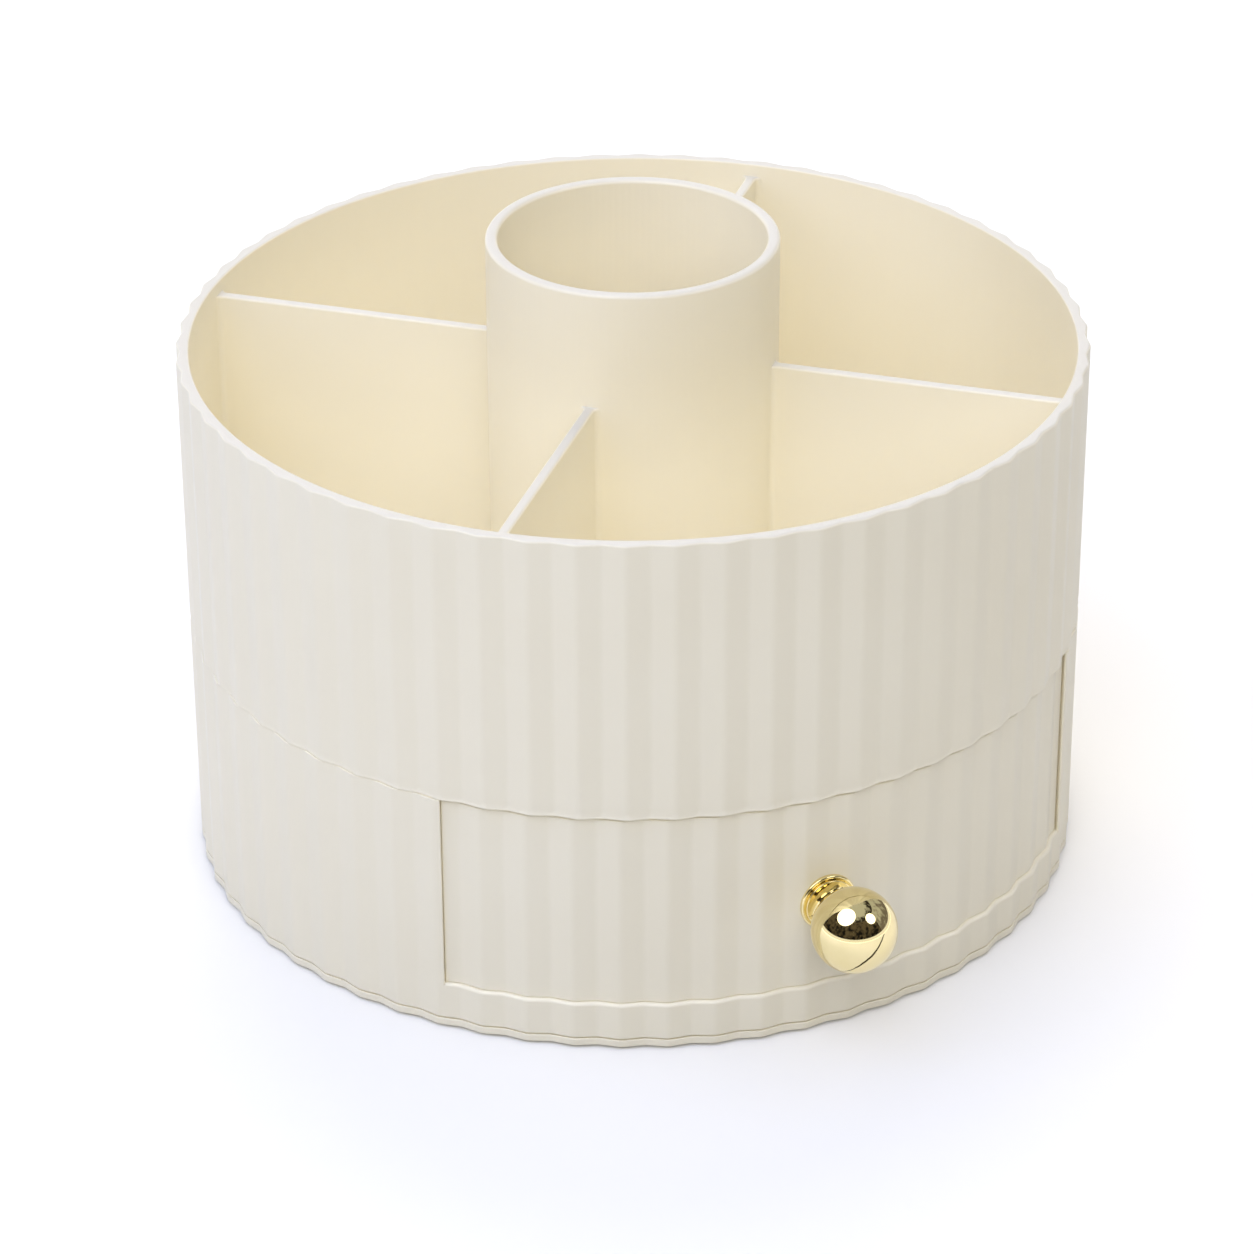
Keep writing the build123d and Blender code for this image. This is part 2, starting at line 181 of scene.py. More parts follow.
# How finely round forms are parted: a step is in degrees, steps and sides are counts
flute_step = 4
joined_corner_step = 20
block_corner_step = 22
drawer_corner_step = 10
arc_steps = 5
outer_edge_steps = 4
groove_steps = 8
flange_steps = 8
flare_steps = 6
neck_steps = 12
ball_steps = 48
knob_sides = 128
pillar_sides = 48
round_sides = 180

# The camera, fitted to the rims of the photograph
camera_azimuth = -24.2
camera_elevation = 28.93
camera_roll = -0.28
camera_distance = 0.8893
camera_aim_side = -1.38 * MM
camera_aim_level = 40.52 * MM
camera_lens = 132.47
camera_sensor = 36

# Colours, from the darkest to the lightest tone of each material
ivory_tones = ((0.90, 0.845, 0.685), (0.92, 0.87, 0.715))
gold_tones = ((0.87, 0.745, 0.40), (0.90, 0.775, 0.44))
steel_tones = ((0.50, 0.50, 0.50), (0.62, 0.62, 0.61))
ball_steel_tones = ((0.66, 0.66, 0.67), (0.76, 0.76, 0.77))
cage_tones = ((0.62, 0.62, 0.60), (0.70, 0.70, 0.68))
rubber_tones = ((0.022, 0.020, 0.018), (0.040, 0.037, 0.034))
plastic_ior = 1.5
noise_span = (0.3, 0.7)

# A painted shade on the tray's upper edges: their colour is darkened where they look up, over a span of
# upward share and of level
painted_top_shade = (0.78, 0.79, 0.85)
painted_top_shade_facing = (0.55, 1.0)
painted_top_shade_levels = (rim_level - 5.0 * MM, rim_level - 4.0 * MM)

# The studio. Lamps are placed by their azimuth from the camera and by their elevation, in degrees.
# Their size and distance are in metres and their power in watts. The shines light gloss alone.
lamps = {
    "key": dict(azimuth=-38.7, elevation=57, size=1.1, colour=(0.43, 0.57, 1), power=3.57),
    "left_window": dict(azimuth=-95, elevation=32, size=1.0, colour=(0.81, 0.885, 1), power=1.87),
    "left_fill": dict(azimuth=-70, elevation=20, size=1.0, colour=(0.85, 0.857, 1), power=3.12),
    "front_fill": dict(azimuth=5, elevation=40, size=1.0, colour=(1, 0.98, 0.93), power=5.75),
    "right_fill": dict(azimuth=100, elevation=45, size=1.0, colour=(1, 0.90, 0.60), power=1.47),
    "back_fill": dict(azimuth=180, elevation=50, size=1.0, colour=(1, 0.943, 0.838), power=7.75),
}
shines = {
    "key_shine": dict(azimuth=-42, elevation=58.5, size=1.03, colour=(1, 1, 1), power=7.7),
    "side_shine": dict(azimuth=62.5, elevation=43, size=0.54, colour=(1, 1, 1), power=2.2),
}
lamp_distance = 1.3
shine_distance = 1.2
lamp_aim_level = 60 * MM

# The dim room: screens by their azimuths and elevations, which glow from a dark to a light tone as they
# rise from one level to another, in metres
cards = {
    "dim_room": dict(distance=2.6, azimuths=(-100, 74), elevations=(7, 50), rise=(-2.0, 4.0),
                     tones=((0.010, 0.009, 0.008), (0.11, 0.09, 0.065))),
    "dim_side": dict(distance=2.65, azimuths=(72, 150), elevations=(7, 50), rise=(0.0, 2.5),
                     tones=((0.18, 0.16, 0.15), (0.50, 0.51, 0.48))),
    "dim_ceiling": dict(distance=2.7, azimuths=(-180, 180), elevations=(48, 90), rise=(2.05, 2.6),
                        tones=((0.03, 0.025, 0.02), (0.52, 0.53, 0.51))),
}
card_rows = 8
card_columns = 32
room_patch_scale = 2.5
room_unevenness = 0.35

# The painted reflection, a dark line on the floor before the object that gloss alone shows: how far right
# of the knob and how far in front it runs, and its width
dark_line_lift = 0.3 * MM
dark_line_rise = (-1, 1)
dark_line_tones = ((0.02, 0.015, 0.01), (0.05, 0.04, 0.03))
dark_line_places = [(-6 * MM, -14 * MM, 1 * MM), (-3 * MM, 0, 2 * MM), (1 * MM, 9 * MM, 2.6 * MM),
               (7 * MM, 16 * MM, 3.5 * MM), (14.7 * MM, 21 * MM, 4 * MM), (35 * MM, 29 * MM, 5.5 * MM),
               (77.5 * MM, 40 * MM, 8 * MM), (200 * MM, 62 * MM, 18 * MM), (562 * MM, 103 * MM, 40 * MM)]

# The light of the world, and the floor, whose glow for the camera fades to white over a distance
horizon_light = (0.198, 0.170, 0.113)
zenith_light = (0.765, 0.825, 1.09)
floor_colour = (0.905, 0.895, 0.865)
floor_bounce = 0.6
floor_glow = 0.06
floor_fade = (0.5, 1.4)
floor_rings = (0.001, 0.3, 1.0, 3.0, 9.0)
floor_sides = 96
diffuse_bounces = 8


def direction(azimuth, elevation):
    """Give the direction out to an azimuth, counted from -Y towards +X, and an elevation."""
    a = radians(azimuth)
    e = radians(elevation)
    return Vector((sin(a) * cos(e), -cos(a) * cos(e), sin(e)))


# Mesh making. A sheet is a pair of lists, of points and of faces.


def add_rows(sheet, rows, closed=True):
    """Add quads through rows of points, and give the number of the first point."""
    points, faces = sheet
    start = len(points)
    width = len(rows[0])
    for row in rows:
        points.extend(row)
    for j in range(len(rows) - 1):
        for i in range(width if closed else width - 1):
            a = start + j * width + i
            b = start + j * width + (i + 1) % width
            faces.append((a, b, b + width, a + width))
    return start


def add_cap(sheet, first, count):
    """Close a ring of points that were added before."""
    sheet[1].append(tuple(range(first, first + count)))


def add_capped(sheet, rows):
    """Add closed rows with a cap at both ends."""
    width = len(rows[0])
    first = add_rows(sheet, rows)
    add_cap(sheet, first, width)
    add_cap(sheet, first + width * (len(rows) - 1), width)


def add_bridge(sheet, first, count):
    """Add quads across a row that is the same on its left and its right."""
    for i in range(count // 2 - 1):
        a = first + i
        b = first + count - 1 - i
        sheet[1].append((a, a + 1, b - 1, b))


def arc(reach, level, radius, start, end, steps=arc_steps):
    """Give (reach, level) pairs round an arc, where 0 degrees points out and 90 points up."""
    pairs = []
    for k in range(steps + 1):
        angle = radians(start + (end - start) * k / steps)
        pairs.append((reach + radius * cos(angle), level + radius * sin(angle)))
    return pairs


def make_piece(name, sheet, material, body, replaced):
    """Make an object from a sheet, weld it, even out its shading and let it ride on its body."""
    mesh = bpy.data.meshes.new(name)
    mesh.from_pydata([tuple(point) for point in sheet[0]], [], sheet[1])
    piece = bpy.data.objects.new(name, mesh)
    bpy.context.scene.collection.objects.link(piece)
    work = bmesh.new()
    work.from_mesh(mesh)
    bmesh.ops.remove_doubles(work, verts=work.verts, dist=weld_distance)
    bmesh.ops.recalc_face_normals(work, faces=work.faces)
    for face in work.faces:
        face.smooth = True
    for edge in work.edges:
        edge.smooth = edge.calc_face_angle(0) < radians(sharp_angle)
    work.to_mesh(mesh)
    work.free()
    mesh.materials.append(material)
    shading = piece.modifiers.new("even shading", "WEIGHTED_NORMAL")
    shading.keep_sharp = True
    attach(piece, body)
    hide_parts(*replaced)


# Plan lines. A plan line is a list of (point, outward normal) pairs and runs anticlockwise.


def at_bearing(radius, bearing):
    """Give the plan point at a radius and a bearing, counted from -Y round towards +X."""
    angle = radians(bearing)
    return Vector((radius * sin(angle), -radius * cos(angle)))


def outward(along):
    """Give the outward normal beside a direction of travel."""
    return Vector((along.y, -along.x)).normalized()


def corner_arc(corner, before, after, radius, step):
    """Round a plan corner between two outward normals, with a point every so many degrees."""
    turn = atan2(before.x * after.y - before.y * after.x, before.dot(after))
    side = 1 if turn > 0 else -1
    middle = corner - side * radius * (before + after) / (1 + before.dot(after))
    segments = max(2, round(abs(turn) / radians(step)))
    line = []
    for k in range(segments + 1):
        angle = turn * k / segments
        normal = Vector((before.x * cos(angle) - before.y * sin(angle),
                         before.x * sin(angle) + before.y * cos(angle)))
        line.append((middle + side * radius * normal, normal))
    return line


def fluted_line(crest, turn):
    """Give the fluted outline, with its crests at a radius."""
    corners = []
    for flute in range(flute_count):
        bearing = turn + flute * flute_pitch
        corners.append(at_bearing(crest, bearing))
        corners.append(at_bearing(crest - flute_depth, bearing + flute_pitch / 2))
    line = []
    for i, corner in enumerate(corners):
        before = outward(corner - corners[i - 1])
        after = outward(corners[(i + 1) % len(corners)] - corner)
        line += corner_arc(corner, before, after, flute_round, flute_step)
    return line


def round_line(radius, count):
    """Give a circle of so many points."""
    line = []
    for i in range(count):
        point = at_bearing(radius, 360 * i / count)
        line.append((point, point.normalized()))
    return line


def crossing(one, other, half_width):
    """Give the place between two places of a plan line where it crosses a side."""
    share = (half_width - abs(one[0].x)) / (abs(other[0].x) - abs(one[0].x))
    return one[0].lerp(other[0], share), one[1].lerp(other[1], share).normalized()


def cut_line(line, half_width, front):
    """Give the part of a closed line that lies in front, between two sides, or the rest of it."""
    count = len(line)
    kept = [(point.y < 0 and abs(point.x) < half_width) == front for point, _ in line]
    i = next(i for i in range(count) if kept[i] and not kept[i - 1])
    part = [crossing(line[i - 1], line[i], half_width)]
    while kept[i % count]:
        part.append(line[i % count])
        i += 1
    part.append(crossing(line[(i - 1) % count], line[i % count], half_width))
    return part


def join_lines(lines, radius):
    """Join plan lines end to start into a closed one, with the corners between them rounded."""
    joined = []
    reach = [radius * tan(lines[i - 1][-1][1].angle(lines[i][0][1]) / 2) for i in range(len(lines))]
    for i, line in enumerate(lines):
        following = lines[(i + 1) % len(lines)]
        start, end = line[0][0], line[-1][0]
        for point, normal in line[1:-1]:
            if (point - start).length > reach[i] and (point - end).length > reach[(i + 1) % len(lines)]:
                joined.append((point, normal))
        joined += corner_arc(end, line[-1][1], following[0][1], radius, joined_corner_step)
    return joined


def ring_part(line, inner_radius, half_width, front, radius):
    """Give the closed plan of a ring's front part, between two sides, or of the rest of it."""
    outer = cut_line(line, half_width, front)
    inside = [(point.normalized() * inner_radius, -point.normalized()) for point, _ in line[::-1]]
    inner = cut_line(inside, half_width, front)
    sides = []
    for start, end in ((outer[-1][0], inner[0][0]), (inner[-1][0], outer[0][0])):
        normal = outward(end - start)
        sides.append([(start, normal), (end, normal)])
    return join_lines([outer, sides[0], inner, sides[1]], radius)


def offset_rows(line, pairs):
    """Give rows that follow a plan line, moved out by their reach."""
    return [[Vector((*(point + normal * reach), level)) for point, normal in line]
            for reach, level in pairs]


def round_rows(line, pairs):
    """Give round rows with as many points as a plan line has. Their reach is their radius."""
    return [[Vector((*(point.normalized() * reach), level)) for point, _ in line]
            for reach, level in pairs]


def edge_rounded(bottom, top, bottom_round, top_round):
    """Give the pairs of an upright side with its lower and upper edge rounded."""
    return (arc(-bottom_round, bottom + bottom_round, bottom_round, -90, 0, outer_edge_steps)
            + arc(-top_round, top - top_round, top_round, 0, 90, outer_edge_steps))


def add_block(sheet, low, high, radius):
    """Add an upright bar between two corners, with its edges rounded."""
    corners = [Vector((low[0], low[1])), Vector((high[0], low[1])),
               Vector((high[0], high[1])), Vector((low[0], high[1]))]
    line = []
    for i, corner in enumerate(corners):
        before = outward(corner - corners[i - 1])
        after = outward(corners[(i + 1) % 4] - corner)
        line += corner_arc(corner, before, after, radius, block_corner_step)
    add_capped(sheet, offset_rows(line, edge_rounded(low[2], high[2], radius / 2, radius)))


def add_pillar(sheet, place, radius, bottom, top, base_round):
    """Add an upright pillar that widens into the floor it stands on."""
    line = round_line(1, pillar_sides)
    pairs = arc(radius + base_round, bottom + base_round, base_round, -90, -180)
    pairs += arc(radius - rib_round, top - rib_round, rib_round, 0, 90)
    rows = round_rows(line, pairs)
    for row in rows:
        for point in row:
            point.xy += Vector(place)
    add_capped(sheet, rows)


side_post_reach = sqrt(post_circle_radius**2 - side_post_setback**2)
rear_post_depth = sqrt(post_circle_radius**2 - rear_post_reach**2)
post_places = [(-side_post_reach, -side_post_setback), (side_post_reach, -side_post_setback),
               (-rear_post_reach, rear_post_depth), (rear_post_reach, rear_post_depth)]


def groove_pairs(side):
    """Give the ball groove across the track, seen from the housing's side, 1, or the foot's, -1."""
    half = asin(track_gap / groove_radius)
    start = 90 + side * (90 - half * 180 / pi)
    end = 90 - side * (90 - half * 180 / pi)
    if side < 0:
        start, end = -start, -end
    return arc(track_radius, bearing_level, groove_radius, start, end, groove_steps)


# Tray


def tray_shell(sheet):
    """Add the tray's underside, fluted wall with a shallow bead over the seam, floor and centre tube."""
    line = fluted_line(crest_radius, tray_turn)
    rows = round_rows(line, [(0, seam_level)])
    bead_top = seam_level + seam_round + bead_height
    pairs = arc(-seam_round, seam_level + seam_round, seam_round, -90, 0, outer_edge_steps)
    pairs += [(0, seam_level + seam_round + bead_height / 3), (-bead_depth, bead_top)]
    pairs += [(-bead_depth / 3, bead_top + bead_fade / 2), (0, bead_top + bead_fade)]
    pairs += arc(-rim_outer_round, rim_level - rim_outer_round, rim_outer_round, 0, 90, outer_edge_steps)
    rows += offset_rows(line, pairs)
    pairs = arc(bore_radius + rim_inner_round, rim_level - rim_inner_round, rim_inner_round, 90, 180)
    pairs += arc(bore_radius - floor_round, tray_floor_top + floor_round, floor_round, 0, -90)
    pairs += arc(tube_radius + floor_round, tray_floor_top + floor_round, floor_round, -90, -180)
    pairs += arc(tube_radius - tube_round, tube_top - tube_round, tube_round, 0, 90)
    pairs += arc(tube_bore_radius + tube_round, tube_top - tube_round, tube_round, 90, 180)
    pairs += arc(tube_bore_radius - floor_round, tray_floor_top + floor_round, floor_round, 0, -90)
    pairs += [(0, tray_floor_top)]
    add_rows(sheet, rows + round_rows(line, pairs))


def divider_stations():
    """Give (distance from the axis, half thickness) along a divider, which flares at both ends."""
    widest = divider_half_thickness + corner_round
    start = sqrt(tube_radius**2 - widest**2)
    end = sqrt(bore_radius**2 - widest**2)
    flare = []
    for k in range(flare_steps + 1):
        angle = pi / 2 * k / flare_steps
        flare.append((corner_round * (1 - sin(angle)), widest - corner_round * cos(angle)))
    stations = [(start - sink, widest)]
    stations += [(start + run, half) for run, half in flare[::-1]]
    stations += [(end - run, half) for run, half in flare]
    stations += [(end + sink, widest)]
    return stations


def divider(sheet, bearing):
    """Add a divider with a rounded top, a slight draft and hollow corners where it stands."""
    along = at_bearing(1, bearing)
    across = Vector((-along.y, along.x))
    spread = (divider_top - tray_floor_top) * divider_draft
    rows = []
    for distance, half in divider_stations():
        side = arc(half + spread + floor_round, tray_floor_top + floor_round, floor_round, -90, -180)
        side = [(side[0][0], tray_floor_top - sink)] + side
        side += arc(half - divider_round, divider_top - divider_round, divider_round, 0, 90)
        section = side + [(-reach, level) for reach, level in side[::-1]]
        rows.append([Vector((*(along * distance + across * reach), level)) for reach, level in section])
    add_capped(sheet, rows)


def tray_fittings(sheet):
    """Add the spigot and the screw bosses under the tray."""
    line = round_line(spigot_radius, round_sides)
    plan = ring_part(line, spigot_inner_radius, spigot_notch_half_width, False, rib_round)
    bottom = seam_level - spigot_depth
    pairs = edge_rounded(bottom, seam_level + sink, rib_round / 2, rib_round / 2)
    add_capped(sheet, offset_rows(plan, pairs))
    for place in post_places:
        add_pillar(sheet, place, boss_radius, post_top, seam_level + sink, rib_round / 4)


def make_tray(material):
    """Make the tray, one moulding."""
    sheet = ([], [])
    tray_shell(sheet)
    for k in range(divider_count):
        divider(sheet, tray_turn + (k + 0.5) * 360 / divider_count)
    tray_fittings(sheet)
    make_piece("tray", sheet, material, "box", ["upper_tray"])


# Housing


def housing_base(sheet):
    """Add the housing's lip with its rounded sill, its floor, and the track and boss below."""
    line = fluted_line(crest_radius, housing_turn)
    track_level = bearing_level + track_gap
    pairs = [(0, pivot_boss_level), (pivot_boss_radius, pivot_boss_level)]
    pairs += [(pivot_boss_radius, housing_floor_level)]
    pairs += [(track_radius - track_half_width, housing_floor_level)]
    pairs += [(track_radius - track_half_width, track_level)]
    pairs += groove_pairs(1)
    pairs += [(track_radius + track_half_width, track_level)]
    pairs += [(track_radius + track_half_width, housing_floor_level)]
    pairs += [(bore_radius, housing_floor_level), (bore_radius, housing_level)]
    rows = round_rows(line, pairs)
    rows += offset_rows(line, edge_rounded(housing_level, sill_level, foot_round, sill_round))
    pairs = arc(bore_radius + sill_inner_round, sill_level - sill_inner_round, sill_inner_round, 90, 180)
    pairs += [(bore_radius, housing_floor_top), (0, housing_floor_top)]
    add_rows(sheet, rows + round_rows(line, pairs))


def housing_wall(sheet):
    """Add the housing's wall, which is open over the drawer front."""
    line = fluted_line(crest_radius, housing_turn)
    plan = ring_part(line, bore_radius, opening_half_width, False, jamb_round)
    foot = sill_level - sill_round
    pairs = [(-skin_inset, foot - sink), (0, foot + skin_inset)]
    pairs += arc(-top_round, seam_level - top_round, top_round, 0, 90, outer_edge_steps)
    add_capped(sheet, offset_rows(plan, pairs))


def housing_inside(sheet):
    """Add the jamb ribs, guide rails, runners and screw posts."""
    base = housing_floor_top - sink
    wall_reach = sqrt(bore_radius**2 - jamb_rib_front**2)
    runner_front = -sqrt(bore_radius**2 - runner_reach**2)
    for side in (-1, 1):
        reaches = sorted((side * rail_inner_reach, side * wall_reach))
        add_block(sheet, (reaches[0], jamb_rib_front, base), (reaches[1], jamb_rib_back, jamb_rib_top),
                  rib_round)
        reaches = sorted((side * rail_inner_reach, side * rail_outer_reach))
        rail_top = housing_floor_top + rail_height
        add_block(sheet, (reaches[0], jamb_rib_back - sink, base), (reaches[1], box_back, rail_top),
                  rib_round)
        middle = side * runner_reach
        add_block(sheet, (middle - runner_width / 2, runner_front, base),
                  (middle + runner_width / 2, box_back, sill_level), rib_round)
    for place in post_places:
        add_pillar(sheet, place, post_radius, housing_floor_top, post_top, 2 * rib_round)


def make_housing(material):
    """Make the housing, one moulding."""
    sheet = ([], [])
    housing_base(sheet)
    housing_wall(sheet)
    housing_inside(sheet)
    make_piece("housing", sheet, material, "box", ["lower_housing"])


# Drawer


def drawer_front(sheet):
    """Add the curved, fluted front with its edges rounded."""
    line = fluted_line(front_crest_radius, housing_turn)
    plan = ring_part(line, front_inner_radius, front_half_width, True, front_round)
    pairs = edge_rounded(front_level, front_top, front_low_round, front_round)
    add_capped(sheet, offset_rows(plan, pairs))


def drawer_box(sheet):
    """Add the box behind the front: rounded walls round a floor, and a plate up to the front."""
    half = box_half_width
    corners = [Vector((half, box_front_end)), Vector((half, box_back)),
               Vector((-half, box_back)), Vector((-half, box_front_end))]
    right, back, left = (outward(corners[i + 1] - corners[i]) for i in range(3))
    line = [(corners[0], right)]
    line += corner_arc(corners[1], right, back, box_corner_round, drawer_corner_step)
    line += corner_arc(corners[2], back, left, box_corner_round, drawer_corner_step)
    line += [(corners[3], left)]
    pairs = arc(-box_base_round, drawer_level + box_base_round, box_base_round, -90, 0)
    pairs += arc(-box_rim_round, box_top - box_rim_round, box_rim_round, 0, 90)
    pairs += arc(-box_wall + box_rim_round, box_top - box_rim_round, box_rim_round, 90, 180)
    pairs += arc(-box_wall - box_floor_round, box_floor_top + box_floor_round, box_floor_round, 0, -90)
    first = add_rows(sheet, offset_rows(line, pairs), closed=False)
    add_bridge(sheet, first, len(line))
    add_bridge(sheet, first + len(line) * (len(pairs) - 1), len(line))
    line = round_line(box_plate_radius, round_sides)
    plate = ring_part(line, -box_front_end, box_plate_half_width, True, rib_round)
    add_capped(sheet, offset_rows(plate, [(0, drawer_level + skin_inset),
                                          (0, box_floor_top - skin_inset)]))


def drawer_ears(sheet):
    """Add the ears that meet the jamb ribs when the drawer is pulled right out."""
    back = box_back - ear_setback
    for side in (-1, 1):
        reaches = sorted((side * (box_half_width - box_wall / 2), side * (box_half_width + ear_reach)))
        add_block(sheet, (reaches[0], back - ear_length, box_top - ear_height),
                  (reaches[1], back, box_top - box_rim_round / 2), rib_round)


def make_drawer(material):
    """Make the drawer, one moulding."""
    sheet = ([], [])
    drawer_front(sheet)
    drawer_box(sheet)
    drawer_ears(sheet)
    make_piece("drawer_moulding", sheet, material, "drawer", ["drawer"])


def make_knob(material):
    """Make the knob: flange, groove, collar, hollow neck and ball, turned about one axis."""
    ring = flange_radius - collar_radius
    pairs = [(0, 0)]
    pairs += arc(flange_radius - flange_round / 2, flange_round / 2, flange_round / 2, -90, 0)
    pairs += arc(flange_radius - flange_round, flange_thickness - flange_round, flange_round, 0, 90,
                 flange_steps)
    pairs += [(collar_radius + ring / 4, flange_thickness - groove_depth / 2)]
    pairs += [(collar_radius, flange_thickness - groove_depth)]
    pairs += arc(collar_radius - collar_round, collar_top - collar_round, collar_round, 0, 90)
    hollow_radius = collar_radius - 2 * collar_round
    for k in range(neck_steps + 1):
        angle = pi / 2 * k / neck_steps
        pairs.append((hollow_radius - (hollow_radius - neck_radius) * sin(angle),
                      neck_reach - (neck_reach - collar_top) * cos(angle)))
    neck_angle = asin(neck_radius / ball_radius)
    for k in range(ball_steps + 1):
        angle = neck_angle + (pi - neck_angle) * k / ball_steps
        pairs.append((ball_radius * sin(angle), ball_reach - ball_radius * cos(angle)))
    rows = []
    for radius, reach in pairs:
        ring_points = [at_bearing(radius, 360 * i / knob_sides) for i in range(knob_sides)]
        rows.append([Vector((point.x, knob_seat - reach, knob_level + point.y)) for point in ring_points])
    sheet = ([], [])
    add_rows(sheet, rows)
    make_piece("ball_knob", sheet, material, "drawer", ["knob"])


def make_foot(material):
    """Make the turntable foot: a thin fluted disc with a track and a hub."""
    line = fluted_line(crest_radius, housing_turn)
    track_level = bearing_level - track_gap
    web_radius = pivot_boss_radius + pivot_clearance
    inner = [(web_radius, hub_top), (web_radius, hub_web_level), (hub_recess_radius, hub_web_level)]
    inner += [(hub_recess_radius, foot_level)]
    outer = [(track_radius + track_half_width, foot_top), (track_radius + track_half_width, track_level)]
    outer += groove_pairs(-1)
    outer += [(track_radius - track_half_width, track_level), (track_radius - track_half_width, foot_top)]
    outer += [(hub_radius, foot_top), (hub_radius, hub_top), (web_radius, hub_top)]
    rows = round_rows(line, inner)
    rows += offset_rows(line, edge_rounded(foot_level, foot_top, foot_round, foot_round))
    rows += round_rows(line, outer)
    sheet = ([], [])
    add_rows(sheet, rows)
    make_piece("foot", sheet, material, "foot", ["turntable_foot"])


# Materials


def add_node(tree, kind, values=(), **settings):
    """Add a shader node with some inputs and settings."""
    node = tree.nodes.new(kind)
    for name, value in settings.items():
        setattr(node, name, value)
    for name, value in dict(values).items():
        node.inputs[name].default_value = value
    return node


def noise(tree, scale, detail, stretch=(1, 1, 1)):
    """Add a noise over the object's own metres and give its value socket."""
    place = add_node(tree, "ShaderNodeTexCoord")
    mapping = add_node(tree, "ShaderNodeMapping", {"Scale": stretch})
    texture = add_node(tree, "ShaderNodeTexNoise", {"Scale": scale, "Detail": detail})
    tree.links.new(place.outputs["Object"], mapping.inputs["Vector"])
    tree.links.new(mapping.outputs["Vector"], texture.inputs["Vector"])
    return texture.outputs["Fac"]


def between(tree, value, low, high):
    """Map a noise onto a range and give the socket."""
    node = add_node(tree, "ShaderNodeMapRange", {"From Min": noise_span[0], "From Max": noise_span[1],
                                                 "To Min": low, "To Max": high})
    tree.links.new(value, node.inputs["Value"])
    return node.outputs["Result"]


def tint(tree, value, tones):
    """Map a noise onto two tones and give the socket."""
    ramp = add_node(tree, "ShaderNodeValToRGB")
    for element, position, tone in zip(ramp.color_ramp.elements, noise_span, tones):
        element.position = position
        element.color = (*tone, 1)
    tree.links.new(value, ramp.inputs["Fac"])
    return ramp.outputs["Color"]


def paint_top_shade(tree, colour):
    """Paint a shade onto a colour, taking some light and warmth off the edges that look up, and give the
    socket.
    """
    shares = add_node(tree, "ShaderNodeMath", operation="MULTIPLY")
    place = add_node(tree, "ShaderNodeNewGeometry")
    limits = {"Normal": painted_top_shade_facing, "Position": painted_top_shade_levels}
    for number, (name, (low, high)) in enumerate(limits.items()):
        split = add_node(tree, "ShaderNodeSeparateXYZ")
        share = add_node(tree, "ShaderNodeMapRange", {"From Min": low, "From Max": high})
        tree.links.new(place.outputs[name], split.inputs["Vector"])
        tree.links.new(split.outputs["Z"], share.inputs["Value"])
        tree.links.new(share.outputs["Result"], shares.inputs[number])
    shade = add_node(tree, "ShaderNodeMixRGB", {"Color2": (*painted_top_shade, 1)}, blend_type="MULTIPLY")
    tree.links.new(shares.outputs["Value"], shade.inputs["Fac"])
    tree.links.new(colour, shade.inputs["Color1"])
    return shade.outputs["Color"]


def bumped(tree, shader, layers):
    """Stack bumps of (height socket, strength, distance) under a shader."""
    normal = None
    for height, strength, distance in layers:
        node = add_node(tree, "ShaderNodeBump", {"Strength": strength, "Distance": distance})
        tree.links.new(height, node.inputs["Height"])
        if normal is not None:
            tree.links.new(normal, node.inputs["Normal"])
        normal = node.outputs["Normal"]
    tree.links.new(normal, shader.inputs["Normal"])


def start_material(name, values):
    """Start a material and give it with its tree and its shader."""
    material = bpy.data.materials.new(name)
    material.use_nodes = True
    tree = material.node_tree
    shader = tree.nodes["Principled BSDF"]
    for key, value in values.items():
        shader.inputs[key].default_value = value
    return material, tree, shader


def cream_plastic():
    """Moulded ivory plastic with a soft sheen, faint flow streaks, a fine skin and a painted shade on the
    tray's upper edges that look up.
    """
    material, tree, shader = start_material("cream_plastic", {"IOR": plastic_ior})
    ivory = tint(tree, noise(tree, scale=22, detail=3), ivory_tones)
    # The ivory colour gets a painted shade where the tray's upper edges look up
    tree.links.new(paint_top_shade(tree, ivory), shader.inputs["Base Color"])
    streaks = noise(tree, scale=160, detail=2, stretch=(1, 1, 0.08))
    skin = noise(tree, scale=420, detail=3)
    grain = noise(tree, scale=5200, detail=2)
    tree.links.new(between(tree, streaks, 0.32, 0.41), shader.inputs["Roughness"])
    bumped(tree, shader, [(skin, 0.06, 0.0002), (grain, 0.05, 0.00004)])
    return material


def gold_metal():
    """Polished gold plate with faint polishing marks."""
    material, tree, shader = start_material("gold_metal", {"Metallic": 1.0})
    tree.links.new(tint(tree, noise(tree, scale=300, detail=3), gold_tones), shader.inputs["Base Color"])
    marks = noise(tree, scale=900, detail=4)
    tree.links.new(between(tree, marks, 0.035, 0.07), shader.inputs["Roughness"])
    polish = noise(tree, scale=1500, detail=3, stretch=(1, 0.2, 1))
    bumped(tree, shader, [(polish, 0.02, 0.00003)])
    return material


def bare_metal(name, tones, roughness):
    """Steel with turning marks."""
    material, tree, shader = start_material(name, {"Metallic": 1.0})
    tree.links.new(tint(tree, noise(tree, scale=700, detail=4), tones), shader.inputs["Base Color"])
    wear = noise(tree, scale=1600, detail=3)
    tree.links.new(between(tree, wear, roughness, roughness * 1.6), shader.inputs["Roughness"])
    turning_marks = noise(tree, scale=2600, detail=2, stretch=(1, 1, 0.1))
    bumped(tree, shader, [(turning_marks, 0.1, 0.00005)])
    return material


def soft_material(name, tones, roughness, grain_scale):
    """Rubber or nylon with a fine grain."""
    material, tree, shader = start_material(name, {"IOR": plastic_ior})
    tree.links.new(tint(tree, noise(tree, scale=250, detail=3), tones), shader.inputs["Base Color"])
    wear = noise(tree, scale=1200, detail=2)
    tree.links.new(between(tree, wear, roughness, roughness * 1.3), shader.inputs["Roughness"])
    bumped(tree, shader, [(noise(tree, scale=grain_scale, detail=3), 0.3, 0.0001)])
    return material


